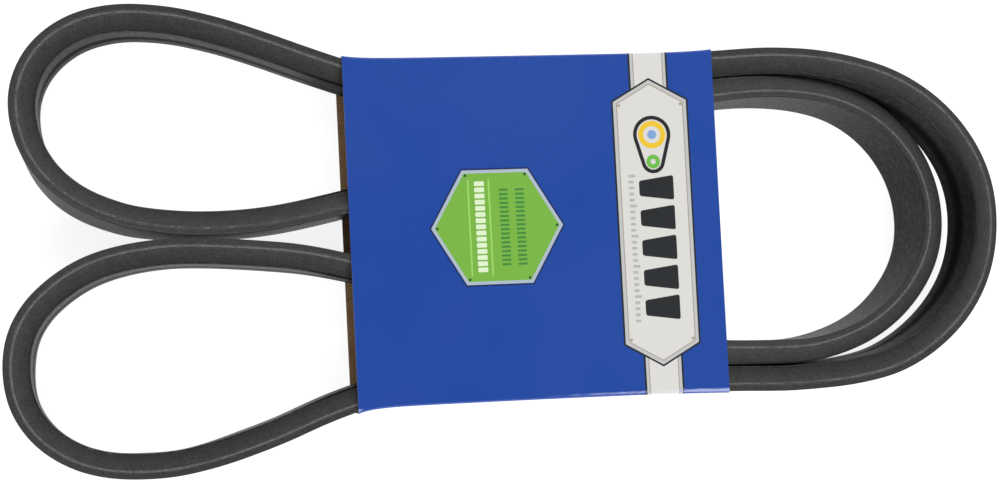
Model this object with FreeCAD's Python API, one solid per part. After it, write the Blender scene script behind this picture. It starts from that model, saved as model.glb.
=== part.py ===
"""A raw-edge V-belt, folded flat and held in an open-ended paperboard sleeve.

The belt lies on its side: its width stands up along Z and its depth lies in the XY plane.
+X runs along the sleeve, +Y across it, +Z up from the table. Millimetres.
The origin is under the middle of the whole object, on the table.
"""
import FreeCAD, Part
import math
import os

Vector = FreeCAD.Vector
UP = Vector(0, 0, 1)

# ---- belt section (half-inch classic wedge) ----
belt_width = 12.7
belt_depth = 8.0
wedge_angle = 37.0

# ---- belt layers, as depths below the back of the belt ----
outer_ply_end = 0.75
inner_ply_end = 1.5
overcord_end = 2.1
cushion_end = 3.3
compression_end = 7.4
cord_depth = 2.7
cord_diameter = 0.9
cord_sides = 6
cord_count = 8
cord_pitch = 1.36

# ---- sleeve ----
sleeve_length = 122.5
sleeve_width = 113.8
board = 0.4
crease_radius = 0.8
glue = 0.1
flap_width = 14.0
glue_width = 10.0
glue_margin = 2.0
belt_play = 0.05
lid_play = 0.1

# ---- the folded course of the tensile cords ----
# Each station is x, y and the heading in degrees, measured from the middle of the sleeve.
# The back of the belt is on the right of the way of travel.
sleeve_end = sleeve_length / 2
stations = [
    # upper left loop, from the sleeve round and back
    (-61.0, 53.2, 161),
    (-95.0, 65.5, 161),
    (-125.5, 72.2, 177),
    (-156.0, 61.5, 226),
    (-163.8, 43.5, 268),
    (-152.5, 16.5, 318),
    (-129.0, 6.0, 350),
    (-92.5, 4.2, 4),
    (-61.0, 9.2, 12),
    # across the sleeve, then the inner right loop, which bends the belt backwards
    (60.0, 41.6, 8),
    (90.0, 42.8, -5),
    (119.5, 32.7, -37),
    (136.3, -2.5, -93),
    (118.5, -32.5, -144),
    (86.0, -42.5, -181),
    (68.5, -41.9, -182),
    # back across the sleeve, then the lower left loop
    (-61.0, -9.5, -194),
    (-101.5, -3.7, -185),
    (-125.0, -3.3, -174),
    (-157.5, -16.0, -140),
    (-168.6, -38.5, -91),
    (-157.5, -62.5, -40),
    (-130.0, -72.3, -2),
    (-100.0, -67.3, 18),
    (-61.0, -53.4, 15),
    # across the sleeve again, then the outer right loop
    (62.0, -53.2, 0),
    (94.5, -53.1, 3),
    (137.5, -39.5, 38),
    (156.6, -3.5, 86),
    (139.0, 36.8, 139),
    (94.0, 53.1, 176),
    (61.0, 53.2, 181),
]

flank_slope = math.tan(math.radians(wedge_angle / 2))
flap_top = board + glue + board
belt_base = flap_top + belt_play
belt_middle = belt_base + belt_width / 2
lid_base = belt_base + belt_width + lid_play
lid_top = lid_base + board


def heading_vector(degrees):
    return Vector(math.cos(math.radians(degrees)), math.sin(math.radians(degrees)), 0)


def turned(vector, angle):
    c = math.cos(angle)
    s = math.sin(angle)
    return Vector(c * vector.x - s * vector.y, s * vector.x + c * vector.y, 0)


def arc_to(start, tangent, end):
    """The arc that leaves start along tangent and reaches end: start, tangent, centre and turn."""
    chord = end - start
    left = Vector(-tangent.y, tangent.x, 0)
    radius = chord.dot(chord) / (2 * chord.dot(left))
    turn = 2 * math.atan2(chord.dot(left), chord.dot(tangent))
    return start, tangent, start + left * radius, turn


def two_arcs(here, there):
    """Two arcs that join one station to the next with no corner anywhere."""
    start = Vector(here[0], here[1], 0)
    end = Vector(there[0], there[1], 0)
    leave = heading_vector(here[2])
    arrive = heading_vector(there[2])
    chord = end - start
    both = leave + arrive
    spread = 2 * (1 - leave.dot(arrive))
    along = chord.dot(both)
    if spread > 1e-9:
        reach = (math.sqrt(along * along + spread * chord.dot(chord)) - along) / spread
    else:
        reach = chord.dot(chord) / (2 * along)
    joint = (start + leave * reach + end - arrive * reach) * 0.5
    first = arc_to(start, leave, joint)
    second = arc_to(joint, turned(leave, first[3]), end)
    return [first, second]


def folded_course():
    arcs = []
    for index, here in enumerate(stations):
        there = stations[(index + 1) % len(stations)]
        arcs.extend(two_arcs(here, there))
    return arcs


def course_length(arcs):
    return sum(abs(turn) * (centre - start).Length for start, tangent, centre, turn in arcs)


def course_extent(arcs, steps=40):
    """The lowest and highest corner of the belt's back, all the way round the course."""
    xs = []
    ys = []
    for start, tangent, centre, turn in arcs:
        for step in range(steps):
            angle = turn * step / steps
            way = turned(tangent, angle)
            back = centre + turned(start - centre, angle) + Vector(way.y, -way.x, 0) * cord_depth
            xs.append(back.x)
            ys.append(back.y)
    return min(xs), min(ys), max(xs), max(ys)


def section_point(start, tangent, depth, height):
    """A point of the belt's section: depth below the back, height above the belt's middle."""
    right = Vector(tangent.y, -tangent.x, 0)
    return start + right * (cord_depth - depth) + UP * (belt_middle + height)


def layer_edges(start, tangent, near, far):
    """The four sides of one layer's section, between two depths."""
    half_near = belt_width / 2 - near * flank_slope
    half_far = belt_width / 2 - far * flank_slope
    corners = [
        section_point(start, tangent, near, -half_near),
        section_point(start, tangent, near, half_near),
        section_point(start, tangent, far, half_far),
        section_point(start, tangent, far, -half_far),
    ]
    return [Part.makeLine(corners[i - 1], corners[i]) for i in range(4)]


def cord_edges(start, tangent, height):
    """The sides of one cord's section: a regular polygon, which stands for the twisted yarns."""
    corners = []
    for index in range(cord_sides):
        angle = 2 * math.pi * index / cord_sides
        depth = cord_depth + cord_diameter / 2 * math.cos(angle)
        corners.append(section_point(start, tangent, depth, height + cord_diameter / 2 * math.sin(angle)))
    return [Part.makeLine(corners[i - 1], corners[i]) for i in range(cord_sides)]


def endless(arcs, section_edges):
    """Carries a closed section round the whole course and closes it into one solid."""
    faces = []
    for start, tangent, centre, turn in arcs:
        for edge in section_edges(start, tangent):
            faces.append(edge.revolve(centre, UP, math.degrees(turn)))
    shell = Part.makeShell(faces)
    shell.sewShape()
    solid = Part.makeSolid(shell)
    if solid.Volume < 0:
        solid.reverse()
    return solid


def belt_layer(arcs, near, far):
    return endless(arcs, lambda start, tangent: layer_edges(start, tangent, near, far))


def tensile_cord(arcs, height):
    return endless(arcs, lambda start, tangent: cord_edges(start, tangent, height))


def cord_heights():
    middle = (cord_count - 1) / 2
    return [(index - middle) * cord_pitch for index in range(cord_count)]


def block(x0, x1, y0, y1, z0, z1):
    return Part.makeBox(x1 - x0, y1 - y0, z1 - z0, Vector(x0, y0, z0))


def along_sleeve(outline):
    """A closed outline in the YZ plane, as a board wall as long as the sleeve."""
    face = Part.Face(Part.Wire(outline))
    return face.extrude(Vector(sleeve_length, 0, 0))


def side_panel(side, foot_low):
    """A side of the sleeve with its two creased corners. side is +1 or -1; foot_low is its lowest level."""
    x = -sleeve_end
    outer = side * sleeve_width / 2
    inner = outer - side * board
    bend = side * (sleeve_width / 2 - crease_radius)
    outer_r = crease_radius
    inner_r = crease_radius - board
    half = math.sqrt(0.5)

    def at(y, z):
        return Vector(x, y, z)

    top_centre = lid_top - crease_radius
    foot_centre = foot_low + crease_radius
    outline = [
        Part.makeLine(at(bend, lid_base), at(bend, lid_top)),
        Part.Arc(
            at(bend, lid_top),
            at(bend + side * outer_r * half, top_centre + outer_r * half),
            at(outer, top_centre),
        ).toShape(),
        Part.makeLine(at(outer, top_centre), at(outer, foot_centre)),
        Part.Arc(
            at(outer, foot_centre),
            at(bend + side * outer_r * half, foot_centre - outer_r * half),
            at(bend, foot_low),
        ).toShape(),
        Part.makeLine(at(bend, foot_low), at(bend, foot_low + board)),
        Part.Arc(
            at(bend, foot_low + board),
            at(bend + side * inner_r * half, foot_centre - inner_r * half),
            at(inner, foot_centre),
        ).toShape(),
        Part.makeLine(at(inner, foot_centre), at(inner, top_centre)),
        Part.Arc(
            at(inner, top_centre),
            at(bend + side * inner_r * half, top_centre + inner_r * half),
            at(bend, lid_base),
        ).toShape(),
    ]
    return along_sleeve(outline)


def sleeve_panels():
    bend = sleeve_width / 2 - crease_radius
    seam = board + glue
    x0, x1 = -sleeve_end, sleeve_end
    return {
        "sleeve_front_panel": block(x0, x1, -bend, bend, lid_base, lid_top),
        "sleeve_back_panel": block(x0, x1, -sleeve_width / 2 + board, bend, 0, board),
        "sleeve_upper_side": side_panel(1, 0),
        "sleeve_lower_side": side_panel(-1, seam),
        "sleeve_glue_flap": block(x0, x1, -bend, -bend + flap_width, seam, seam + board),
        "sleeve_glue_line": block(
            x0 + glue_margin, x1 - glue_margin, -bend + glue_margin, -bend + glue_margin + glue_width, board, seam
        ),
    }


def belt_layers(arcs):
    cords = [tensile_cord(arcs, height) for height in cord_heights()]
    cushion = belt_layer(arcs, overcord_end, cushion_end).cut(cords)
    nodes = {
        "back_fabric_outer_ply": belt_layer(arcs, 0, outer_ply_end),
        "back_fabric_inner_ply": belt_layer(arcs, outer_ply_end, inner_ply_end),
        "overcord_rubber": belt_layer(arcs, inner_ply_end, overcord_end),
        "cord_cushion_gum": cushion,
        "compression_rubber": belt_layer(arcs, cushion_end, compression_end),
        "bottom_fabric": belt_layer(arcs, compression_end, belt_depth),
    }
    for number, cord in enumerate(cords, start=1):
        nodes[f"tensile_cord_{number}"] = cord
    return nodes


def main():
    os.makedirs("parts", exist_ok=True)
    arcs = folded_course()
    low_x, low_y, high_x, high_y = course_extent(arcs)
    to_middle = Vector(-(low_x + high_x) / 2, -(low_y + high_y) / 2, 0)
    nodes = {**belt_layers(arcs), **sleeve_panels()}
    for name, shape in nodes.items():
        shape.translate(to_middle)
        shape.exportStep(f"parts/{name}.step")
    print("sleeve middle", to_middle.x, to_middle.y, "belt length", course_length(arcs))
    for name, shape in nodes.items():
        print(name, shape.isValid(), len(shape.Solids), round(shape.Volume, 1))


main()
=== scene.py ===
"""The looks of a raw-edge V-belt that is folded flat and held in a printed paperboard sleeve.

The belt's layers are carried round the same folded course as the CAD belt, with their cut edges,
cloth plies and half-buried cords. The sleeve is one creased blank, and its print is ink laid on it.
Lengths are in millimetres until a mesh is made; the scene is in metres.
"""

import math

import bmesh
import bpy
import numpy as np
from mathutils import Euler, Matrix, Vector, noise


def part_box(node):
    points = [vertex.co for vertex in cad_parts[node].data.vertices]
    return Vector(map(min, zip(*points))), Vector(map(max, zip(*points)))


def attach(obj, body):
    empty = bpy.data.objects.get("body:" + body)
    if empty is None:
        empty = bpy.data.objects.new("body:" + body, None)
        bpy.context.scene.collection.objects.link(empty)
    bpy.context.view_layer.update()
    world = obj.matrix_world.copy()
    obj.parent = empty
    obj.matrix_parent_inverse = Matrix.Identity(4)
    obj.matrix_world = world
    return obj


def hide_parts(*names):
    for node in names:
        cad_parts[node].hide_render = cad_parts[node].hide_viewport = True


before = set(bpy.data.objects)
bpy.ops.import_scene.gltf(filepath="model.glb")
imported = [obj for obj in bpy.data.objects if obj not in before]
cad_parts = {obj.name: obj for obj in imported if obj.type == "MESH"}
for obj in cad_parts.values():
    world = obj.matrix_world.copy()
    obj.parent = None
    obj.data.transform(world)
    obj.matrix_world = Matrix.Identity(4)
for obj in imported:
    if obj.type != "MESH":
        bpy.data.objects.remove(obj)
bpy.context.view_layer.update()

MM = 0.001


def node_box(name):
    """A CAD node's lowest and highest corners, in millimetres."""
    low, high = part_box(name)
    return low / MM, high / MM


# ---------------------------------------------------------------- sizes, from the frame
front_low, front_high = node_box("sleeve_front_panel")
upper_high = node_box("sleeve_upper_side")[1]
lower_low = node_box("sleeve_lower_side")[0]
back_low, back_high = node_box("sleeve_back_panel")
flap_low, flap_high = node_box("sleeve_glue_flap")
glue_low, glue_high = node_box("sleeve_glue_line")
ply_low, ply_high = node_box("back_fabric_outer_ply")

board = back_high.z - back_low.z
half_length = (front_high.x - front_low.x) / 2
half_width = (upper_high.y - lower_low.y) / 2
middle_x = (front_high.x + front_low.x) / 2
middle_y = (upper_high.y + lower_low.y) / 2
lid_top = front_high.z
crease = half_width - (front_high.y - middle_y)
belt_width = ply_high.z - ply_low.z
belt_base = ply_low.z

# ---------------------------------------------------------------- belt section, depths below the back
belt_depth = 8.0
flank_angle = 32.0
flank_slope = math.tan(math.radians(flank_angle / 2))
cord_line = 2.7
cord_depth = 2.3
cord_radius = 0.45
cord_count = 8
seam_height = -0.8
seam_groove = 0.2

# ---------------------------------------------------------------- the folded course of the cords
# x, y and heading in degrees from the middle of the sleeve.
stations = [
    # upper left loop
    (-61.0, 53.2, 161),
    (-95.0, 65.5, 161),
    (-125.5, 72.2, 177),
    (-156.0, 61.5, 226),
    (-163.8, 43.5, 268),
    (-152.5, 16.5, 318),
    (-129.0, 6.0, 350),
    (-92.5, 4.2, 4),
    (-61.0, 9.2, 12),
    # inner right loop, bent backwards
    (60.0, 41.6, 8),
    (90.0, 42.8, -5),
    (119.5, 32.7, -37),
    (136.3, -2.5, -93),
    (118.5, -32.5, -144),
    (86.0, -42.5, -181),
    (68.5, -41.9, -182),
    # lower left loop
    (-61.0, -9.5, -194),
    (-101.5, -3.7, -185),
    (-125.0, -3.3, -174),
    (-157.5, -16.0, -140),
    (-168.6, -38.5, -91),
    (-157.5, -62.5, -40),
    (-130.0, -72.3, -2),
    (-100.0, -67.3, 18),
    (-61.0, -53.4, 15),
    # outer right loop
    (62.0, -53.2, 0),
    (94.5, -53.1, 3),
    (137.5, -39.5, 38),
    (156.6, -3.5, 86),
    (139.0, 36.8, 139),
    (94.0, 53.1, 176),
    (61.0, 53.2, 181),
]

# How the belt settles on its course. Each row is a station's number, where 4.5 is halfway from the
# fourth to the fifth; the lean in degrees, positive where the upper edge leans out towards the belt's
# back; how far it bulges towards its back; and how far it drops.
settling = [
    # upper left loop
    (0, 1, 0, 0),
    (1, 1.5, 0.2, 0.2),
    (2, 2.5, -0.1, 0.4),
    (2.5, 5, 0.25, 0.4),
    (3, 7, 0.4, 0.4),
    (3.5, 3, 0.15, 0.4),
    (4, -0.5, -0.1, 0.4),
    (4.5, -6.5, -0.8, 0.4),
    (5, -11, -1.65, 0.4),
    (5.5, -9, -1.5, 0.3),
    (6, -5.5, -0.4, 0.2),
    (6.5, 0, 0.2, 0.1),
    (7, 0, 0.2, 0.1),
    (8, 0, 0, 0),
    # inner right loop
    (9, 0, 0, 0),
    (10, 0, 0, 0.3),
    (11, 2, -0.3, 0.7),
    (11.5, 0, -1.0, 0.8),
    (12.5, 3, -0.45, 0.8),
    (13, 3, -0.3, 0.7),
    (13.5, 1, 0, 0.5),
    (14, 0, -0.45, 0.3),
    (15, 0, -0.6, 0.1),
    # lower left loop
    (16, 0, 0, 0),
    (16.5, 4, 0.85, 0.1),
    (17, 4, 0.8, 0.2),
    (18, 4, 0.5, 0.4),
    (18.5, 5.5, 0.95, 0.4),
    (19, 4.5, 0.4, 0.4),
    (19.5, 2, 0.15, 0.4),
    (20, 0, -0.5, 0.4),
    (20.5, -8, -0.1, 0.4),
    (21, -10, -0.1, 0.4),
    (21.5, -9, -0.4, 0.4),
    (22, -5.5, -0.9, 0.4),
    (22.5, -6, -0.5, 0.3),
    (23, -1.5, 0, 0.2),
    (23.5, -1.5, 0.7, 0.1),
    # outer right loop
    (24, 0, 0.5, 0),
    (24.1, 0, 0, 0),
    (24.9, 0, 0, 0),
    (25, 3, 0.3, 0),
    (25.5, 5, 0.9, 0),
    (26, 4, 0.85, 0),
    (26.5, 4, 1.5, 0),
    (27, 11, 0.8, 0),
    (27.5, 18, 0.6, 0),
    (28, 21, 0, 0),
    (28.5, 20.5, 0.3, 0),
    (29, 20, 0.3, 0),
    (29.5, 17, 0.3, 0),
    (30, 7, 0.75, 0),
    (30.5, 2, 0.9, 0),
    (31, 0, 0.3, 0),
    (31.1, 0, 0, 0),
]


def smooth(t):
    t = np.clip(t, 0, 1)
    return t * t * (3 - 2 * t)


def two_arcs(here, there):
    """Two arcs that join one station to the next with no corner, as (start, heading, curvature, length)."""
    start, end = complex(here[0], here[1]), complex(there[0], there[1])
    leave = np.exp(1j * math.radians(here[2]))
    arrive = np.exp(1j * math.radians(there[2]))
    chord = end - start
    along = (chord.conjugate() * (leave + arrive)).real
    spread = 2 * (1 - (leave.conjugate() * arrive).real)
    if spread > 1e-9:
        reach = (math.sqrt(along * along + spread * abs(chord) ** 2) - along) / spread
    else:
        reach = abs(chord) ** 2 / (2 * along)
    joint = (start + leave * reach + end - arrive * reach) / 2
    arcs = []
    way = leave
    for a, b in ((start, joint), (joint, end)):
        local = (b - a) * way.conjugate()
        turn = 2 * math.atan2(local.imag, local.real)
        curvature = 2 * local.imag / abs(local) ** 2
        length = turn / curvature if abs(curvature) > 1e-9 else abs(local)
        arcs.append((a, way, curvature, length))
        way = way * np.exp(1j * turn)
    return arcs


class Course:
    """Evenly stepped points of the closed course, with the belt's way, lean and drop at each of them."""

    def __init__(self, step):
        arcs = []
        at_station = []
        run = 0.0
        for index, here in enumerate(stations):
            at_station.append(run)
            for arc in two_arcs(here, stations[(index + 1) % len(stations)]):
                arcs.append((run, *arc))
                run += arc[3]
        at_station.append(run)
        self.length = run
        self.count = round(run / step)
        self.distance = np.arange(self.count) * run / self.count
        place = np.zeros(self.count, complex)
        way = np.zeros(self.count, complex)
        for begin, start, heading, curvature, length in arcs:
            mine = (self.distance >= begin - 1e-9) & (self.distance < begin + length)
            t = self.distance[mine] - begin
            turned = np.exp(1j * curvature * t)
            way[mine] = heading * turned
            if abs(curvature) > 1e-9:
                place[mine] = start + heading * (turned - 1) / (1j * curvature)
            else:
                place[mine] = start + heading * t
        marks = np.interp([row[0] for row in settling], np.arange(len(at_station)), at_station)
        lean, bulge, drop = (self.settled(marks, k) for k in (1, 2, 3))
        self.lean = np.radians(lean)
        self.drop = drop
        self.place = place - 1j * way * bulge
        ahead = np.roll(self.place, -1) - np.roll(self.place, 1)
        self.way = ahead / np.abs(ahead)

    def settled(self, marks, column):
        """One column of the settling, eased from mark to mark round the closed course."""
        values = np.interp(self.distance, marks, [row[column] for row in settling], period=self.length)
        spread = max(1, round(9 * self.count / self.length))
        window = np.hanning(2 * spread + 3)
        padded = np.concatenate([values[-spread - 1:], values, values[:spread + 1]])
        return np.convolve(padded, window / window.sum(), "valid")


course = Course(1.2)


def wave(distance, size, seed):
    """Smooth noise along the closed course, from about -1 to 1."""
    turn = 2 * math.pi * distance / course.length
    reach = course.length / (2 * math.pi * size)
    return np.array([noise.noise((reach * math.cos(a), reach * math.sin(a), seed)) * 1.8 for a in turn])


def carry(points, path):
    """Section points (stations by points by depth and height) to places in the frame, in metres."""
    right = path.way * -1j
    depth, rise = points[..., 0], points[..., 1] - belt_width / 2
    c, s = np.cos(path.lean)[:, None], np.sin(path.lean)[:, None]
    out = rise * s - depth * c
    up = depth * s + rise * c
    flat = path.place[:, None] + right[:, None] * (cord_line + out)
    level = belt_base + belt_width - path.drop[:, None] + up
    return np.stack([flat.real + middle_x, flat.imag + middle_y, level], -1) * MM


def sweep(name, sections, path):
    """A closed ring mesh through every station's section, with its run and section as UV maps."""
    count, ring = sections.shape[:2]
    co = carry(sections, path).reshape(-1, 3)
    i, j = np.meshgrid(np.arange(count), np.arange(ring), indexing="ij")
    i2, j2 = (i + 1) % count, (j + 1) % ring
    quads = np.stack([i * ring + j, i2 * ring + j, i2 * ring + j2, i * ring + j2], -1).reshape(-1, 4)
    mesh = bpy.data.meshes.new(name)
    mesh.vertices.add(len(co))
    mesh.vertices.foreach_set("co", co.astype(np.float32).ravel())
    mesh.loops.add(quads.size)
    mesh.loops.foreach_set("vertex_index", quads.astype(np.int32).ravel())
    mesh.polygons.add(len(quads))
    mesh.polygons.foreach_set("loop_start", np.arange(0, quads.size, 4, dtype=np.int32))
    mesh.polygons.foreach_set("use_smooth", np.ones(len(quads), bool))
    mesh.update(calc_edges=True)
    rim = np.hypot(*(np.roll(sections[0], -1, 0) - sections[0]).T)
    around = np.concatenate([[0], np.cumsum(rim)])
    along = path.length * np.arange(count + 1) / count
    corners = [(i, j), (i + 1, j), (i + 1, j + 1), (i, j + 1)]
    run_uv = np.stack([np.stack([along[a], around[b]], -1) for a, b in corners], -2)
    mesh.uv_layers.new(name="run").data.foreach_set("uv", (run_uv * MM).astype(np.float32).ravel())
    spot = sections.reshape(-1, 2)[quads.ravel()]
    spot = np.stack([spot[:, 0] / belt_depth, spot[:, 1] / belt_width + 0.5], -1)
    mesh.uv_layers.new(name="section").data.foreach_set("uv", spot.astype(np.float32).ravel())
    mesh.set_sharp_from_angle(angle=math.radians(50))
    if outward(mesh) < 0:
        mesh.flip_normals()
    return make_object(name, mesh)


def outward(mesh):
    """The mesh's signed volume, which is negative where its faces point inwards."""
    mesh.calc_loop_triangles()
    corners = np.empty(len(mesh.loop_triangles) * 3, np.int32)
    mesh.loop_triangles.foreach_get("vertices", corners)
    co = np.empty(len(mesh.vertices) * 3, np.float32)
    mesh.vertices.foreach_get("co", co)
    tri = co.reshape(-1, 3)[corners].reshape(-1, 3, 3).astype(float)
    return np.einsum("ij,ij->i", tri[:, 0], np.cross(tri[:, 1], tri[:, 2])).sum()


def make_object(name, mesh):
    made = bpy.data.objects.new(name, mesh)
    bpy.context.scene.collection.objects.link(made)
    return made


def rounded(corners, radii, longest=1.3, steps=4):
    """A closed outline with its corners rounded and its long sides divided."""
    outline = []
    count = len(corners)
    ends = []
    for k in range(count):
        here = np.array(corners[k], float)
        before = np.array(corners[k - 1], float) - here
        after = np.array(corners[(k + 1) % count], float) - here
        first = here + before / np.hypot(*before) * radii[k]
        last = here + after / np.hypot(*after) * radii[k]
        bend = []
        for t in np.linspace(0, 1, steps + 1 if radii[k] > 0 else 1):
            bend.append((1 - t) ** 2 * first + 2 * t * (1 - t) * here + t * t * last)
        ends.append(bend)
    for k in range(count):
        outline.extend(ends[k])
        start, stop = ends[k][-1], ends[(k + 1) % count][0]
        pieces = max(1, math.ceil(np.hypot(*(stop - start)) / longest))
        outline.extend(start + (stop - start) * t / pieces for t in range(1, pieces))
    return np.array(outline)


# ---------------------------------------------------------------- materials
def linear(red, green, blue):
    """A colour given as it looks on a screen, 0 to 255, as the linear values that shaders take."""
    shares = (red / 255, green / 255, blue / 255)
    return tuple(((c + 0.055) / 1.055) ** 2.4 if c > 0.0404 else c / 12.92 for c in shares)


class Look:
    """A material, with short calls that add its nodes."""

    def __init__(self, name, roughness=0.6, specular=0.3):
        self.material = bpy.data.materials.new(name)
        self.material.use_nodes = True
        self.tree = self.material.node_tree
        self.shader = self.tree.nodes["Principled BSDF"]
        self.put(self.shader.inputs["Roughness"], roughness)
        self.put(self.shader.inputs["Specular IOR Level"], specular)

    def put(self, socket, value):
        if isinstance(value, bpy.types.NodeSocket):
            self.tree.links.new(value, socket)
        elif isinstance(value, tuple) and len(value) == 3 and socket.type == "RGBA":
            socket.default_value = (*value, 1)
        else:
            socket.default_value = value

    def node(self, kind, **settings):
        made = self.tree.nodes.new(kind)
        for key, value in settings.items():
            setattr(made, key, value)
        return made

    def math(self, operation, a, b=0.0):
        made = self.node("ShaderNodeMath", operation=operation)
        self.put(made.inputs[0], a)
        self.put(made.inputs[1], b)
        return made.outputs[0]

    def place(self, stretch=(1, 1, 1)):
        """Where a point is in the frame at rest, in millimetres, times stretch."""
        made = self.node("ShaderNodeVectorMath", operation="MULTIPLY")
        self.put(made.inputs[0], self.node("ShaderNodeTexCoord").outputs["Object"])
        made.inputs[1].default_value = [s / MM for s in stretch]
        return made.outputs[0]

    def uv(self, name, stretch=(1, 1, 1)):
        made = self.node("ShaderNodeVectorMath", operation="MULTIPLY")
        self.put(made.inputs[0], self.node("ShaderNodeUVMap", uv_map=name).outputs[0])
        made.inputs[1].default_value = stretch
        return made.outputs[0]

    def split(self, vector):
        made = self.node("ShaderNodeSeparateXYZ")
        self.put(made.inputs[0], vector)
        return made.outputs

    def noise(self, vector, scale, detail=2.0, rough=0.5):
        made = self.node("ShaderNodeTexNoise")
        self.put(made.inputs["Vector"], vector)
        made.inputs["Scale"].default_value = scale
        made.inputs["Detail"].default_value = detail
        made.inputs["Roughness"].default_value = rough
        return made.outputs["Fac"]

    def cells(self, vector, scale):
        made = self.node("ShaderNodeTexVoronoi")
        self.put(made.inputs["Vector"], vector)
        made.inputs["Scale"].default_value = scale
        return made.outputs

    def span(self, value, low, high, to_low=0.0, to_high=1.0):
        made = self.node("ShaderNodeMapRange", interpolation_type="SMOOTHSTEP")
        self.put(made.inputs["Value"], value)
        made.inputs["From Min"].default_value = low
        made.inputs["From Max"].default_value = high
        made.inputs["To Min"].default_value = to_low
        made.inputs["To Max"].default_value = to_high
        return made.outputs["Result"]

    def mix(self, share, a, b, blend="MIX"):
        made = self.node("ShaderNodeMix", data_type="RGBA", blend_type=blend, clamp_factor=True)
        self.put(made.inputs["Factor"], share)
        self.put(made.inputs[6], a)
        self.put(made.inputs[7], b)
        return made.outputs[2]

    def attribute(self, name):
        return self.node("ShaderNodeAttribute", attribute_name=name).outputs["Fac"]

    def colour(self, value):
        self.put(self.shader.inputs["Base Color"], value)

    def roughness(self, value):
        self.put(self.shader.inputs["Roughness"], value)

    def bump(self, height, deep, under=None):
        """Height from 0 to 1 as a bump that is deep millimetres high."""
        made = self.node("ShaderNodeBump")
        made.inputs["Strength"].default_value = 1.0
        made.inputs["Distance"].default_value = deep * MM
        self.put(made.inputs["Height"], height)
        if under is not None:
            self.put(made.inputs["Normal"], under)
        self.put(self.shader.inputs["Normal"], made.outputs[0])
        return made.outputs[0]


def bias_weave(look, pitch):
    """A plain weave on the bias, from 0 in its hollows to 1 on its crowns. It closes round the course."""
    u, v = look.split(look.uv("run", (1 / MM, 1 / MM, 1)))[:2]
    around = 2 * math.pi * round(course.length / pitch) / course.length
    one = look.math("SINE", look.math("MULTIPLY", look.math("ADD", u, v), around))
    two = look.math("SINE", look.math("MULTIPLY", look.math("SUBTRACT", u, v), around))
    return look.math("ADD", look.math("MULTIPLY", look.math("MULTIPLY", one, two), 0.5), 0.5)


def cloth_look(name, dark, light, pitch, dust):
    """Rubberised cotton cloth on the bias, rubbed lighter on its crowns and dusty.

    Returns the look, its colour, and how its sheen varies along the lint on it.
    """
    look = Look(name)
    crowns = bias_weave(look, pitch)
    patches = look.noise(look.place(), 0.06, 3.0)
    fine = look.noise(look.place(), 1.4, 3.0, 0.65)
    rub = look.math("MULTIPLY", crowns, look.span(patches, 0.3, 0.75, 0.35, 1.0))
    colour = look.mix(rub, dark, light)
    dusty = look.math("MULTIPLY", look.span(patches, 0.5, 0.8), look.span(fine, 0.45, 0.75))
    colour = look.mix(look.math("MULTIPLY", dusty, 0.3), colour, dust)
    lint = look.noise(look.uv("run", (0.4 / MM, 1 / MM, 1)), 1.0, 2.0, 0.6)
    lint = look.span(lint, 0.4, 0.66)
    colour = look.mix(look.math("MULTIPLY", lint, 0.07), colour, dust)
    look.roughness(look.span(fine, 0.2, 0.8, 0.4, 0.56))
    under = look.bump(crowns, 0.03)
    look.bump(fine, 0.035, under)
    return look, colour, look.span(lint, 0.0, 1.0, 0.85, 1.15)


def back_look():
    """The wide back, and its ply's ground edge below it."""
    dark, light, dust = linear(9, 9, 8), linear(21, 20, 18), linear(78, 74, 66)
    look, colour, sheen = cloth_look("back_cloth", dark, light, 0.62, dust)
    depth = look.split(look.uv("section", (belt_depth, 1, 1)))[0]
    look.colour(look.mix(look.span(depth, 0.02, 0.22), colour, linear(56, 56, 55)))
    look.put(look.shader.inputs["Specular IOR Level"], look.math("MULTIPLY", sheen, 0.3))
    return look.material


def under_look():
    """The narrow face, with painted shade: a dark line along its lapped seam stands for the reflected
    contact shadow, and it is painted darker towards the left mouth, where the sleeve shades it.
    """
    dark, light, dust = linear(13, 12, 11), linear(28, 26, 24), linear(84, 76, 66)
    look, colour, sheen = cloth_look("under_cloth", dark, light, 0.7, dust)
    height = look.split(look.uv("section", (belt_depth, belt_width, 1)))[1]
    off = look.math("ABSOLUTE", look.math("SUBTRACT", height, seam_height + belt_width / 2))
    # Painted shade: a dark line along the lapped seam stands for the contact shadow that the narrow face
    # reflects. The shallow groove itself is shaped in the layer's mesh.
    seam = look.span(off, 2.2, 0.2)
    # Painted shade: the cloth is darkened from about 22 mm to 4 mm from the left mouth, standing for the
    # shadow that the sleeve's mouth casts on the floor the face reflects.
    left_mouth = middle_x - half_length
    x = look.split(look.place())[0]
    from_mouth = look.math("ABSOLUTE", look.math("SUBTRACT", x, left_mouth))
    mouth_shade = look.span(from_mouth, 22, 4, 0.0, 0.9)
    painted_shade = look.math("MAXIMUM", seam, mouth_shade)
    look.colour(look.mix(painted_shade, colour, linear(17, 17, 17)))
    level = look.math("MULTIPLY", sheen, look.span(painted_shade, 0.0, 1.0, 0.48, 0.05))
    look.put(look.shader.inputs["Specular IOR Level"], level)
    return look.material


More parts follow.
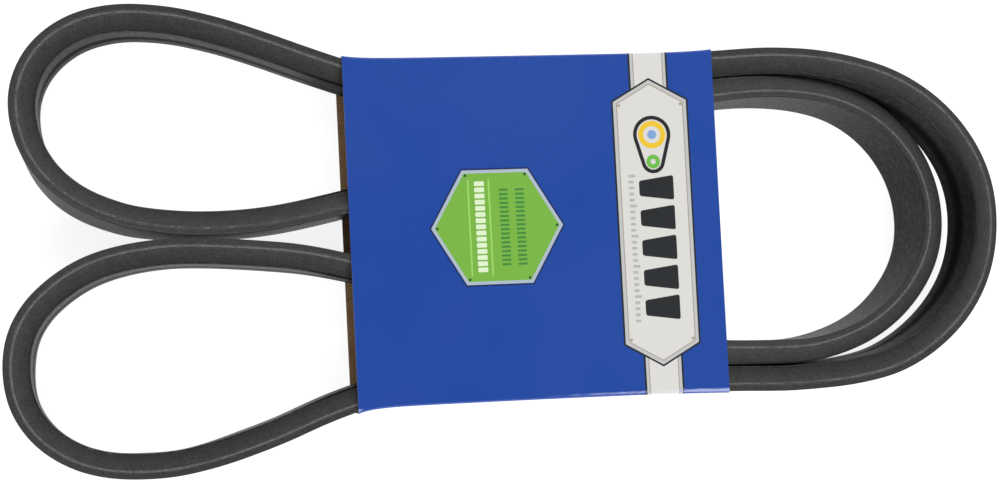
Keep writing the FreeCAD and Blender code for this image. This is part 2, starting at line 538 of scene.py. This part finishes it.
def flank_look(name, edge, middle, corner, fibre_share):
    """A ground flank. Its tone goes from edge at the back, to middle at the cords, to corner at the foot."""
    look = Look(name, specular=0.22)
    depth = look.split(look.uv("section", (belt_depth, 1, 1)))[0]
    streak = look.noise(look.uv("run", (60, 1500, 1)), 1.0, 2.0)
    mottle = look.noise(look.place(), 0.3, 4.0, 0.6)
    grain = look.noise(look.place(), 2.2, 2.0, 0.7)
    tone = look.mix(look.span(depth, 0.4, cord_depth), edge, middle)
    tone = look.mix(look.span(depth, cord_depth, belt_depth - 1.5), tone, corner)
    cord_halo = look.span(look.math("ABSOLUTE", look.math("SUBTRACT", depth, cord_depth)), 1.2, 0.3)
    tone = look.mix(look.math("MULTIPLY", cord_halo, 0.42), tone, linear(88, 88, 87))
    ply_line = look.span(look.math("ABSOLUTE", look.math("SUBTRACT", depth, 0.95)), 0.3, 0.05)
    tone = look.mix(look.math("MULTIPLY", ply_line, 0.35), tone, linear(84, 84, 82))
    foot = look.span(depth, belt_depth - 2.6, belt_depth - 0.7)
    tone = look.mix(look.math("MULTIPLY", foot, 0.3), tone, linear(26, 26, 26))
    shade = look.math("ADD", look.math("MULTIPLY", streak, 0.35), look.math("MULTIPLY", mottle, 0.65))
    tone = look.mix(look.span(shade, 0.35, 0.65, 0.22, 0.0), tone, linear(18, 18, 18))
    ends = look.span(look.cells(look.place(), 1.7)["Distance"], 0.16, 0.08)
    some = look.span(look.noise(look.place(), 0.5, 1.0), 0.5, 0.62)
    fibres = look.math("MULTIPLY", look.math("MULTIPLY", ends, some), fibre_share)
    tone = look.mix(fibres, tone, linear(128, 127, 123))
    speckle = look.span(look.noise(look.place(), 1.3, 2.0, 0.6), 0.3, 0.7, 0.8, 1.2)
    look.colour(look.mix(1.0, tone, speckle, "MULTIPLY"))
    look.roughness(look.span(grain, 0.3, 0.7, 0.55, 0.75))
    under = look.bump(grain, 0.03)
    look.bump(streak, 0.02, under)
    return look.material


def cord_look():
    """Twisted polyester yarn at the flank, grey with rubber left between its fibres."""
    look = Look("cord_yarn", specular=0.2)
    fibres = look.noise(look.uv("run", (900, 4000, 1)), 1.0, 3.0, 0.6)
    patches = look.noise(look.place(), 0.25, 3.0, 0.6)
    colour = look.mix(look.span(fibres, 0.35, 0.7), linear(84, 84, 83), linear(124, 123, 121))
    smear = look.span(patches, 0.5, 0.72, 0.0, 0.6)
    look.colour(look.mix(smear, colour, linear(66, 66, 66)))
    look.roughness(0.8)
    look.bump(fibres, 0.04)
    return look.material


def ink_look(name, ink, specular=0.3, bare=linear(182, 190, 238)):
    """Ink on coated board, worn to its bare tint as far as the wear attribute says."""
    look = Look(name, specular=specular)
    grain = look.noise(look.place((0.35, 1, 1)), 0.9, 3.0, 0.6)
    tone = look.noise(look.place(), 0.03, 1.0)
    shaded = look.mix(look.span(tone, 0.3, 0.7, 0.0, 0.006), ink, linear(255, 255, 255))
    worn = look.math("MULTIPLY", look.attribute("wear"), look.span(grain, 0.3, 0.65, 0.75, 1.15))
    share = look.span(worn, 0.2, 0.95, 0.0, 0.85)
    look.colour(look.mix(share, shaded, bare))
    smooth_ink = look.span(grain, 0.2, 0.8, 0.36, 0.42)
    look.roughness(look.math("ADD", look.math("MULTIPLY", share, 0.3), smooth_ink))
    look.bump(look.noise(look.place(), 3.0, 2.0), 0.004)
    return look.material


def kraft_look(name, dark, light):
    """Uncoated kraft board: long brown fibres and darker flecks."""
    look = Look(name, roughness=0.85, specular=0.15)
    fibres = look.noise(look.place((0.6, 2.6, 2.6)), 1.0, 4.0, 0.65)
    flecks = look.span(look.noise(look.place((0.9, 3.0, 3.0)), 1.3, 2.0), 0.68, 0.75)
    colour = look.mix(look.span(fibres, 0.3, 0.7), dark, light)
    look.colour(look.mix(look.math("MULTIPLY", flecks, 0.5), colour, linear(74, 52, 36)))
    look.bump(fibres, 0.03)
    return look.material


def glue_look():
    """Cloudy yellowish glue."""
    look = Look("dried_glue", roughness=0.35, specular=0.4)
    cloud = look.noise(look.place(), 0.6, 3.0)
    look.colour(look.mix(cloud, linear(208, 196, 160), linear(232, 224, 200)))
    look.bump(cloud, 0.05)
    return look.material


# ---------------------------------------------------------------- belt pieces
def layer(
    name, depths, node, material, radii=(0.07, 0.07), proud=0.0, seed=1, wobble=(0.03, 0.03), groove=0.0
):
    """One layer of the belt between two depths.

    proud moves its cut edges out from the flank, wobble is how far its two faces waver, and groove is
    how deep the lapped seam is in its far face.
    """
    near, far = depths
    half_near = belt_width / 2 - near * flank_slope + proud
    half_far = belt_width / 2 - far * flank_slope + proud
    corners = [(near, -half_near), (near, half_near), (far, half_far), (far, -half_far)]
    outline = rounded(corners, [radii[0], radii[0], radii[1], radii[1]])
    sunk = groove * np.exp(-((outline[:, 1] - seam_height) / 0.5) ** 2)
    outline[:, 0] -= np.where(outline[:, 0] > far - 0.01, sunk, 0)
    share = (outline[:, 0] - near) / (far - near)
    near_wave = wave(course.distance, 9.0, seed) * wobble[0]
    far_wave = wave(course.distance, 9.0, seed + 1) * wobble[1]
    sections = np.repeat(outline[None], course.count, 0)
    sections[..., 0] += near_wave[:, None] * (1 - share) + far_wave[:, None] * share
    piece = sweep(name, sections, course)
    piece.data.materials.append(material)
    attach(piece, "belt")
    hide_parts(node)


def build_belt():
    """The belt's six layers, from its back to its narrow face."""
    back = back_look()
    flank = flank_look("flank_rubber", linear(53, 53, 52), linear(65, 65, 64), linear(54, 54, 54), 0.4)
    gum = flank_look("cushion_gum", linear(50, 50, 50), linear(66, 66, 65), linear(44, 44, 44), 0.15)
    plies = flank_look("cut_cloth", linear(48, 48, 47), linear(66, 66, 65), linear(44, 44, 44), 0.6)
    layer(
        "belt_back_ply", (0.0, 0.74), "back_fabric_outer_ply", back,
        radii=(0.28, 0.07), seed=1, wobble=(0, 0.03),
    )
    layer("belt_second_ply", (0.76, 1.48), "back_fabric_inner_ply", plies, proud=-0.01, seed=2)
    layer("belt_overcord", (1.5, 1.79), "overcord_rubber", flank, seed=3)
    layer("belt_cord_cushion", (1.8, 2.99), "cord_cushion_gum", gum, proud=-0.01, seed=4)
    layer("belt_wedge", (3.0, 7.38), "compression_rubber", flank, seed=5)
    layer(
        "belt_under_cloth", (7.4, belt_depth), "bottom_fabric", under_look(),
        radii=(0.07, 0.25), seed=6, wobble=(0.03, 0), groove=seam_groove,
    )


def build_cords():
    """Every cord of the winding. The two outermost are ground open by the flanks and show as light lines."""
    yarn = cord_look()
    flank_half = belt_width / 2 - cord_depth * flank_slope
    pitch = 2 * (flank_half - cord_radius + 0.17) / (cord_count - 1)
    fine = Course(0.6)
    plain = Course(2.4)
    for number in range(1, cord_count + 1):
        height = (number - (cord_count + 1) / 2) * pitch
        edge = number in (1, cord_count)
        path = fine if edge else plain
        sides = 12 if edge else 8
        angle = 2 * math.pi * np.arange(sides) / sides
        twist = 2 * math.pi * round(course.length / 8) * path.distance[:, None] / course.length
        radius = cord_radius * (0.93 + 0.07 * np.cos(3 * angle[None] - twist))
        sections = np.stack([cord_depth + radius * np.cos(angle), height + radius * np.sin(angle)], -1)
        if edge:
            sections[..., 1] += math.copysign(1, height) * wander(path, number)[:, None]
        piece = sweep(f"belt_cord_{number}", sections, path)
        piece.data.materials.append(yarn)
        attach(piece, "belt")
        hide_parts(f"tensile_cord_{number}")


def wander(path, seed):
    """How far an edge cord stands out of the flank, more or less than its mean.

    Where the upper left loop turns back to the sleeve, rubber covers it but for broken dashes that die
    out towards the mouth. It is faint on the outer strand below the right mouth.
    """
    usual = 0.05 * wave(path.distance, 6.0, 20 + seed)
    broken = 0.2 * wave(path.distance, 1.2, 40 + seed) - 0.15
    x, y = path.place.real, path.place.imag
    broken -= 0.12 * smooth((x + 98) / 12)
    turning = smooth((y + 2) / 4) * smooth((26 - y) / 10) * smooth((-x - 56) / 4)
    rubbed = 0.12 * smooth((x - 55) / 15) * smooth((-y - 36) / 10) * smooth((120 - x) / 30)
    return usual * (1 - turning) + broken * turning - rubbed


# ---------------------------------------------------------------- the sleeve's blank
def blank_section():
    """The blank's printed surface from the flap round to the back panel.

    Returns the distance of each point from the front's middle, and a table of its y, z and normal.
    """
    points = []
    high, low = half_width, -half_width
    seam = flap_low.z

    def run(y0, z0, y1, z1, ny, nz):
        points.extend((y0 + (y1 - y0) * t, z0 + (z1 - z0) * t, ny, nz) for t in (0.001, 0.999))

    def fold(y, z, start, stop):
        for degrees in np.linspace(start, stop, 13):
            c, s = math.cos(math.radians(degrees)), math.sin(math.radians(degrees))
            points.append((y + crease * c, z + crease * s, c, s))

    run(flap_high.y - middle_y, seam, low + crease, seam, 0, -1)
    fold(low + crease, seam + crease, 270, 180)
    run(low, seam + crease, low, lid_top - crease, -1, 0)
    fold(low + crease, lid_top - crease, 180, 90)
    run(low + crease, lid_top, high - crease, lid_top, 0, 1)
    fold(high - crease, lid_top - crease, 90, 0)
    run(high, lid_top - crease, high, crease, 1, 0)
    fold(high - crease, crease, 0, -90)
    run(high - crease, 0, low + board, 0, 0, -1)
    table = np.array(points)
    gaps = np.hypot(*np.diff(table[:, :2], axis=0).T)
    distance = np.concatenate([[0], np.cumsum(gaps)])
    lid = (np.abs(table[:, 1] - lid_top) < 1e-6) & (np.abs(table[:, 3] - 1) < 1e-6)
    distance -= distance[lid].mean()
    return distance, table


ink_lift = 0.035
ink_sink = 0.03
ink_room = 2 * ink_lift
blank_run, blank_table = blank_section()
fold_run = half_width - crease
wall_run = fold_run + crease * math.pi / 2
foot_run = wall_run + lid_top - 2 * crease


def half_width_at(x, side):
    """Half the sleeve's width: it draws in along its middle and the belt pushes its mouths open."""
    upper_middle, lower_middle = 56.0, 55.75
    left, right = half_length + x, half_length - x
    upper = upper_middle + 1.0 * np.exp(-left / 6) + 0.9 * np.exp(-right / 9)
    lower = lower_middle + 1.7 * np.exp(-left / 5) + 0.95 * np.exp(-right / 25)
    return np.where(side > 0, upper, lower)


def on_board(x, run, lift=0.0):
    """A point of the blank in the frame, in metres: x along the sleeve, run across it from its middle.

    The right mouth is cut a little long and askew, and the front dips in slow shallow waves.
    """
    x, run = np.asarray(x, float), np.asarray(run, float)
    lift = lift - ink_room
    y, z, ny, nz = (np.interp(run, blank_run, blank_table[:, k]) for k in range(4))
    size = np.hypot(ny, nz)
    y = y + ny / size * lift
    z = z + nz / size * lift
    y = y * half_width_at(x, np.sign(y)) / half_width
    skew = np.clip(x / half_length, 0, 1) * (0.3 + 0.3 * y / half_width)
    lid = smooth((z - lid_top / 2) / 4) * smooth((half_width - np.abs(y)) / 8)
    wave_size, wave_depth = 32, 0.05
    spots = zip(np.ravel(x + 0 * y), np.ravel(y + 0 * x))
    dip = np.array([noise.noise((a / wave_size, b / wave_size, 3.0)) for a, b in spots])
    z = z - lid * wave_depth * (1 + np.clip(dip.reshape(z.shape), -1, 1))
    return np.stack(np.broadcast_arrays(x + skew + middle_x, y + middle_y, z), -1) * MM


def wear_at(x, run):
    """How worn the print is, from 0 to 1.

    It is rubbed along the front's lower crease, mostly to the right, faintly along the upper crease,
    and at the corners.
    """
    x, run = np.asarray(x, float), np.asarray(run, float)
    lower = np.where(run < 0, 1.0, 0.0)
    line = np.clip(1 - np.abs(np.abs(run) - fold_run + 0.25) / (0.55 + 0.2 * lower), 0, 1)
    right = smooth((x + 20) / 55) + smooth((x - 40) / 12)
    corner = np.exp(-(half_length - np.abs(x)) / 1.0)
    share = 0.06 + lower * right * 0.5 + corner * (0.3 + 0.5 * lower)
    return np.clip(line * share * 1.6, 0, 1)


def grid_steps(low, high, longest):
    return np.linspace(low, high, max(1, math.ceil((high - low) / longest)) + 1)


def blank_grid():
    """Distances along and across the blank, close together at its folds and mouths."""
    turn = crease * math.pi / 2
    lower_foot = wall_run + lid_top - crease - (flap_low.z + crease)
    stops = [blank_run[0], -lower_foot - turn, -lower_foot, -wall_run, -fold_run]
    stops += [fold_run, wall_run, foot_run, foot_run + turn, blank_run[-1]]
    runs = [stops[-1]]
    for a, b in zip(stops[:-1], stops[1:]):
        runs.extend(grid_steps(a, b, 0.22 if b - a < 2 else 2.5)[:-1])
    rim = 2.6
    for side in (-1, 1):
        runs.extend(side * (fold_run - t) for t in np.arange(0.4, rim, 0.4))
    near = np.array([0, 0.25, 0.7, 1.4, 2.4, 3.6, 5.0, 7.0, 9.5]) - half_length
    xs = np.concatenate([near, grid_steps(near[-1], -near[-1], 2.5)[1:-1], -near[::-1]])
    return xs, np.unique(np.round(runs, 6))


def build_sleeve():
    """The blank as one folded sheet: print outside, kraft inside and bare board at its cut edges."""
    xs, runs = blank_grid()
    x, run = np.meshgrid(xs, runs, indexing="ij")
    outer = on_board(x, run, 0.0)
    inner = on_board(x, run, ink_room - board)
    rows, columns = x.shape
    count = rows * columns
    faces, slots = [], []

    def at(i, j, below):
        return i * columns + j + (count if below else 0)

    def edge_face(i, j, i2, j2, way):
        ring = [at(i, j, 0), at(i, j, 1), at(i2, j2, 1), at(i2, j2, 0)]
        faces.append(tuple(ring[::way]))
        slots.append(2)

    for i in range(rows - 1):
        for j in range(columns - 1):
            faces.append((at(i, j, 0), at(i + 1, j, 0), at(i + 1, j + 1, 0), at(i, j + 1, 0)))
            faces.append((at(i, j + 1, 1), at(i + 1, j + 1, 1), at(i + 1, j, 1), at(i, j, 1)))
            slots += [0, 1]
    for i in range(rows - 1):
        edge_face(i, 0, i + 1, 0, 1)
        edge_face(i, columns - 1, i + 1, columns - 1, -1)
    for j in range(columns - 1):
        edge_face(0, j, 0, j + 1, -1)
        edge_face(rows - 1, j, rows - 1, j + 1, 1)
    mesh = bpy.data.meshes.new("sleeve_blank")
    mesh.from_pydata(np.concatenate([outer.reshape(-1, 3), inner.reshape(-1, 3)]).tolist(), [], faces)
    mesh.polygons.foreach_set("material_index", np.array(slots, np.int32))
    mesh.polygons.foreach_set("use_smooth", np.ones(len(faces), bool))
    mesh.update()
    mesh.set_sharp_from_angle(angle=math.radians(40))
    wear = np.concatenate([wear_at(x, run).ravel(), np.zeros(count)])
    mesh.attributes.new("wear", "FLOAT", "POINT").data.foreach_set("value", wear.astype(np.float32))
    if outward(mesh) < 0:
        mesh.flip_normals()
    piece = make_object("sleeve_blank", mesh)
    mesh.materials.append(ink_look("blue_print", linear(24, 70, 160)))
    mesh.materials.append(kraft_look("kraft_liner", linear(132, 104, 74), linear(184, 154, 118)))
    mesh.materials.append(kraft_look("board_core", linear(150, 130, 112), linear(196, 182, 166)))
    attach(piece, "sleeve")
    names = ("front_panel", "back_panel", "upper_side", "lower_side", "glue_flap")
    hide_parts(*(f"sleeve_{name}" for name in names))


def build_glue():
    """A flattened bead of dried glue with a wavering edge, between the flap and the back panel."""
    steps, ring = 90, 14
    centre = (glue_low.y + glue_high.y) / 2
    half = (glue_high.y - glue_low.y) / 2
    thick = (glue_high.z - glue_low.z) / 2
    rings = []
    for step in range(steps + 1):
        t = step / steps
        end = math.sqrt(max(0.0, 1 - abs(2 * t - 1) ** 24)) + 0.02
        x = glue_low.x + (glue_high.x - glue_low.x) * t
        reach = half * min(1.0, end) * (0.93 + 0.07 * noise.noise((x / 9, 0.0, 5.0)))
        row = []
        for k in range(ring):
            angle = 2 * math.pi * k / ring
            row.append((x, centre + reach * math.cos(angle), glue_low.z + thick * (1 + math.sin(angle))))
        rings.append(row)
    verts = [Vector(p) * MM for row in rings for p in row]
    faces = []
    for i in range(steps):
        for k in range(ring):
            m = (k + 1) % ring
            faces.append((i * ring + k, i * ring + m, (i + 1) * ring + m, (i + 1) * ring + k))
    faces.append(tuple(range(ring))[::-1])
    faces.append(tuple(range(steps * ring, (steps + 1) * ring)))
    mesh = bpy.data.meshes.new("sleeve_glue_bead")
    mesh.from_pydata(verts, [], faces)
    mesh.update()
    if outward(mesh) < 0:
        mesh.flip_normals()
    piece = make_object("sleeve_glue_bead", mesh)
    mesh.materials.append(glue_look())
    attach(piece, "sleeve")
    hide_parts("sleeve_glue_line")


# ---------------------------------------------------------------- the print
def ring_faces(outer, inner):
    """The strip between two outlines with the same number of points, as four-sided shapes."""
    count = len(outer)
    return [[outer[k], outer[(k + 1) % count], inner[(k + 1) % count], inner[k]] for k in range(count)]


def ink(name, shapes, material, lift=ink_lift):
    """Flat shapes, each a list of (x, run) points, laid on the blank as a thin skin of ink."""
    flat = bmesh.new()
    for shape in shapes:
        flat.faces.new([flat.verts.new((x, run, 0)) for x, run in shape])
    bmesh.ops.remove_doubles(flat, verts=flat.verts, dist=1e-4)
    corners = np.array([v.co[:2] for v in flat.verts])
    (x0, r0), (x1, r1) = corners.min(0), corners.max(0)
    folds = []
    for side in (-1, 1):
        for start in (fold_run, foot_run):
            folds.extend(side * (start + crease * math.pi / 2 * t / 6) for t in range(7))
    across = [r for r in list(np.arange(-60, 190, 3.0)) + folds if r0 < r < r1]
    along = [x for x in np.arange(-60, 62, 3.0) if x0 < x < x1]
    cuts = [((0, r, 0), (0, 1, 0)) for r in across]
    cuts += [((x, 0, 0), (1, 0, 0)) for x in along]
    for where, normal in cuts:
        geometry = list(flat.verts) + list(flat.edges) + list(flat.faces)
        bmesh.ops.bisect_plane(flat, geom=geometry, dist=1e-5, plane_co=where, plane_no=normal)
    bmesh.ops.recalc_face_normals(flat, faces=flat.faces)
    flat.verts.index_update()
    spots = np.array([v.co[:2] for v in flat.verts])
    count = len(spots)
    x, run = spots.T
    co = np.concatenate([on_board(x, run, lift), on_board(x, run, lift - ink_lift - ink_sink)])
    faces = []
    for face in flat.faces:
        ring = [v.index for v in face.verts]
        faces.append(ring)
        faces.append([v + count for v in reversed(ring)])
        for loop in face.loops:
            if loop.edge.is_boundary:
                a, b = loop.vert.index, loop.link_loop_next.vert.index
                faces.append([b, a, a + count, b + count])
    flat.free()
    mesh = bpy.data.meshes.new(name)
    mesh.from_pydata(co.tolist(), [], faces)
    wear = np.tile(wear_at(x, run), 2)
    mesh.attributes.new("wear", "FLOAT", "POINT").data.foreach_set("value", wear.astype(np.float32))
    mesh.polygons.foreach_set("use_smooth", np.ones(len(faces), bool))
    mesh.update()
    mesh.set_sharp_from_angle(angle=math.radians(40))
    if outward(mesh) < 0:
        mesh.flip_normals()
    piece = make_object(name, mesh)
    mesh.materials.append(material)
    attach(piece, "sleeve")
    return piece


def bar(x0, x1, y0, y1):
    return [(x0, y0), (x1, y0), (x1, y1), (x0, y1)]


def disc(x, y, radius, steps=24):
    turn = 2 * math.pi / steps
    return [(x + radius * math.cos(turn * k), y + radius * math.sin(turn * k)) for k in range(steps)]


def soft_shape(corners, radius):
    return [tuple(p) for p in rounded(corners, [radius] * len(corners), longest=99, steps=3)]


# the white band and its plaque
band_x = 39.4
band_half = 6.6
plaque_half = 12.9
plaque_shoulder = 40.5
plaque_apex = 47.95
plaque_y = 0.25
plaque_slope = (plaque_apex - plaque_shoulder) / plaque_half
line_stops = (0.6, 1.6, 1.95)
band_stops = (0.65, 1.5, 1.85)


def plaque(inset):
    """The plaque's six corners, moved in from its edge."""
    half = plaque_half - inset
    apex = plaque_apex - inset * math.hypot(1, plaque_slope)
    shoulder = apex - half * plaque_slope
    corners = [(0, apex), (half, shoulder), (half, -shoulder)]
    corners += [(0, -apex), (-half, -shoulder), (-half, shoulder)]
    return [(band_x + x, plaque_y + y) for x, y in corners]


def band_strip(x0, x1, side):
    """A strip of the band, from the plaque's slanted edge over the crease and down the sleeve's side."""
    limit = foot_run if side > 0 else -(foot_run - flap_low.z)

    def edge(x):
        return plaque_y + side * (plaque_apex - abs(x) * plaque_slope)

    corners = [(x0, limit), (x0, edge(x0))]
    if x0 < 0 < x1:
        corners.append((0, edge(0)))
    corners += [(x1, edge(x1)), (x1, limit)]
    return [(band_x + x, run) for x, run in corners]


def band_pair(outer, inner):
    """Both edges' strips between two insets from the band's edge, on both sides of the plaque."""
    strips = []
    for side in (-1, 1):
        strips.append(band_strip(-band_half + outer, -band_half + inner, side))
        strips.append(band_strip(band_half - inner, band_half - outer, side))
    return strips


def build_band():
    """The white band and its plaque, with their outlines and rivets and the marks printed on them."""
    line, margin, key = line_stops
    band_line, band_margin, band_key = band_stops
    black = ink_look("black_ink", linear(34, 37, 40))
    pale = ink_look("pale_grey_ink", linear(196, 198, 198))
    tan = ink_look("tan_ink", linear(172, 160, 146))
    white = ink_look("white_ink", linear(221, 220, 216), bare=linear(228, 226, 236))
    ink("print_outline", ring_faces(plaque(0), plaque(line)) + band_pair(0, band_line), black)
    ink("print_margin", ring_faces(plaque(line), plaque(margin)) + band_pair(band_line, band_margin), pale)
    ink("print_key_line", ring_faces(plaque(margin), plaque(key)) + band_pair(band_margin, band_key), tan)
    centre = [band_strip(-band_half + band_key, band_half - band_key, side) for side in (-1, 1)]
    ink("print_plaque", [plaque(key)] + centre, white)
    dots = [disc(band_x + sx * 10.4, plaque_y + sy * 38.9, 0.5, 12) for sx in (-1, 1) for sy in (-1, 1)]
    ink("print_rivets", dots, tan, 2 * ink_lift)
    build_symbol(black)
    build_wedges(black)
    grey = ink_look("grey_ink", linear(182, 183, 182))
    ticks = [bar(31.0, 32.6 if k % 5 else 33.3, 15.2 - 2 * k, 16.0 - 2 * k) for k in range(25)]
    ink("print_ticks", ticks, grey, 2 * ink_lift)


def belt_hull(big, small, extra, steps=40):
    """The outline of a belt round two pulleys, each (x, y, radius)."""
    spots = disc(big[0], big[1], big[2] + extra, steps) + disc(small[0], small[1], small[2] + extra, steps)
    spots = sorted(spots)
    hull = []
    for chain in (spots, spots[::-1]):
        part = []
        for p in chain:
            while len(part) > 1 and cross(part[-2], part[-1], p) <= 1e-9:
                part.pop()
            part.append(p)
        hull += part[:-1]
    return hull


def cross(a, b, c):
    return (b[0] - a[0]) * (c[1] - a[1]) - (b[1] - a[1]) * (c[0] - a[0])


def build_symbol(black):
    """A plain belt-drive pictogram: a belt round a large and a small pulley."""
    big = (39.6, 29.2, 5.0)
    small = (39.6, 20.2, 2.6)
    outer = belt_hull(big, small, 1.3)
    inner = belt_hull(big, small, 0.1)
    ink("print_symbol_belt", ring_faces(outer, inner), black, 2 * ink_lift)
    yellow = ink_look("yellow_ink", linear(240, 200, 52))
    green = ink_look("green_mark_ink", linear(112, 190, 76))
    sky = ink_look("sky_ink", linear(132, 166, 216))
    ring = ring_faces(disc(*big[:2], 4.6), disc(*big[:2], 2.9))
    ink("print_symbol_pulley", ring, yellow, 2 * ink_lift)
    ink("print_symbol_hub", [disc(*big[:2], 1.5)], sky, 2 * ink_lift)
    ink("print_symbol_idler", ring_faces(disc(*small[:2], 2.3), disc(*small[:2], 0.9)), green, 2 * ink_lift)


def build_wedges(black):
    """Five plain belt sections in a row, each with its wide back to the right."""
    back_x, back_half = 46.0, 4.1
    foot_x, foot_half = 34.4, 2.5
    first, pitch = 11.4, 9.9
    shapes = []
    for k in range(5):
        y = first - pitch * k
        corners = [(back_x, y + back_half), (back_x, y - back_half)]
        corners += [(foot_x, y - foot_half), (foot_x, y + foot_half)]
        shapes.append(soft_shape(corners, 0.8))
    ink("print_wedges", shapes, black, 2 * ink_lift)


badge_x = -13.35
badge_y = 0.3


def hexagon(radius):
    return disc(badge_x, badge_y, radius, 6)


def build_badge():
    """The green hexagon: its rim and dots, and plain rules, blocks and strokes."""
    navy = ink_look("navy_ink", linear(28, 44, 96))
    silver = ink_look("silver_ink", linear(176, 190, 204), 0.5)
    field = ink_look("badge_green_ink", linear(122, 182, 68))
    lime = ink_look("lime_ink", linear(158, 214, 108))
    deep = ink_look("deep_green_ink", linear(62, 140, 62))
    white = ink_look("badge_white_ink", linear(226, 244, 206))
    rim, inside = 21.7, 20.5
    ink("badge_outline", ring_faces(hexagon(rim + 0.6), hexagon(rim)), navy)
    ink("badge_rim", ring_faces(hexagon(rim), hexagon(inside)), silver)
    ink("badge_field", [hexagon(inside)], field)
    dots = [disc(x, y, 0.45, 10) for x, y in hexagon(inside - 0.8)]
    ink("badge_dots", dots, ink_look("dark_green_ink", linear(44, 84, 44)), 2 * ink_lift)
    rules = [bar(x - 0.3, x + 0.3, -15.6, 16.0) for x in (-22.4, -15.6)]
    ink("badge_rules", rules, lime, 2 * ink_lift)
    blocks = [soft_shape(bar(-20.4, -17.1, y - 1.55, y), 0.4) for y in np.arange(15.4, -14.0, -2.02)]
    ink("badge_blocks", blocks, white, 2 * ink_lift)
    strokes = []
    for left in (-12.3, -7.0):
        strokes += [bar(left, left + 2.9, y - 0.62, y) for y in np.arange(12.7, -11.8, -1.44)]
    ink("badge_strokes", strokes, deep, 2 * ink_lift)


# ---------------------------------------------------------------- the studio
def build_studio():
    """A bright flat paper floor, a dim white room, and a long softbox on each side of the object."""
    floor_mesh = bpy.data.meshes.new("floor")
    floor_mesh.from_pydata([(-3, -3, 0), (3, -3, 0), (3, 3, 0), (-3, 3, 0)], [], [(0, 1, 2, 3)])
    floor = make_object("floor", floor_mesh)
    paper = Look("floor_paper", roughness=0.9, specular=0.1)
    paper.colour(linear(170, 170, 170))
    paper.put(paper.shader.inputs["Emission Color"], (1.0, 1.0, 1.0))
    paper.put(paper.shader.inputs["Emission Strength"], 0.85)
    floor_mesh.materials.append(paper.material)
    world = bpy.data.worlds.new("studio")
    bpy.context.scene.world = world
    world.use_nodes = True
    room = world.node_tree.nodes["Background"]
    room.inputs["Color"].default_value = (1, 1, 1, 1)
    room.inputs["Strength"].default_value = 0.3
    for name, y, power in (("near_softbox", -1.1, 15.6), ("far_softbox", 1.1, 13.8)):
        data = bpy.data.lights.new(name, "AREA")
        data.shape = "RECTANGLE"
        data.size = 1.4
        data.size_y = 0.6
        data.energy = power
        lamp = bpy.data.objects.new(name, data)
        lamp.location = (0.15, y, 0.62)
        lamp.rotation_mode = "QUATERNION"
        lamp.rotation_quaternion = (-lamp.location).to_track_quat("-Z", "Y")
        bpy.context.scene.collection.objects.link(lamp)
    bpy.context.scene.view_settings.view_transform = "Standard"


def build_camera():
    """A camera close above the object's left part, shifted to take in all of it."""
    data = bpy.data.cameras.new("camera")
    data.sensor_width = 36
    data.lens = 28.5
    data.shift_x = 0.232
    data.shift_y = 0.0874
    data.clip_start = 0.01
    data.clip_end = 20
    camera = bpy.data.objects.new("camera", data)
    camera.location = Vector((-100.56, -35.95, 261.54)) * MM
    camera.rotation_euler = Euler([math.radians(a) for a in (1.660, -4.043, -2.601)])
    bpy.context.scene.collection.objects.link(camera)
    bpy.context.scene.camera = camera


build_camera()
build_studio()
build_belt()
build_cords()
build_sleeve()
build_glue()
build_band()
build_badge()
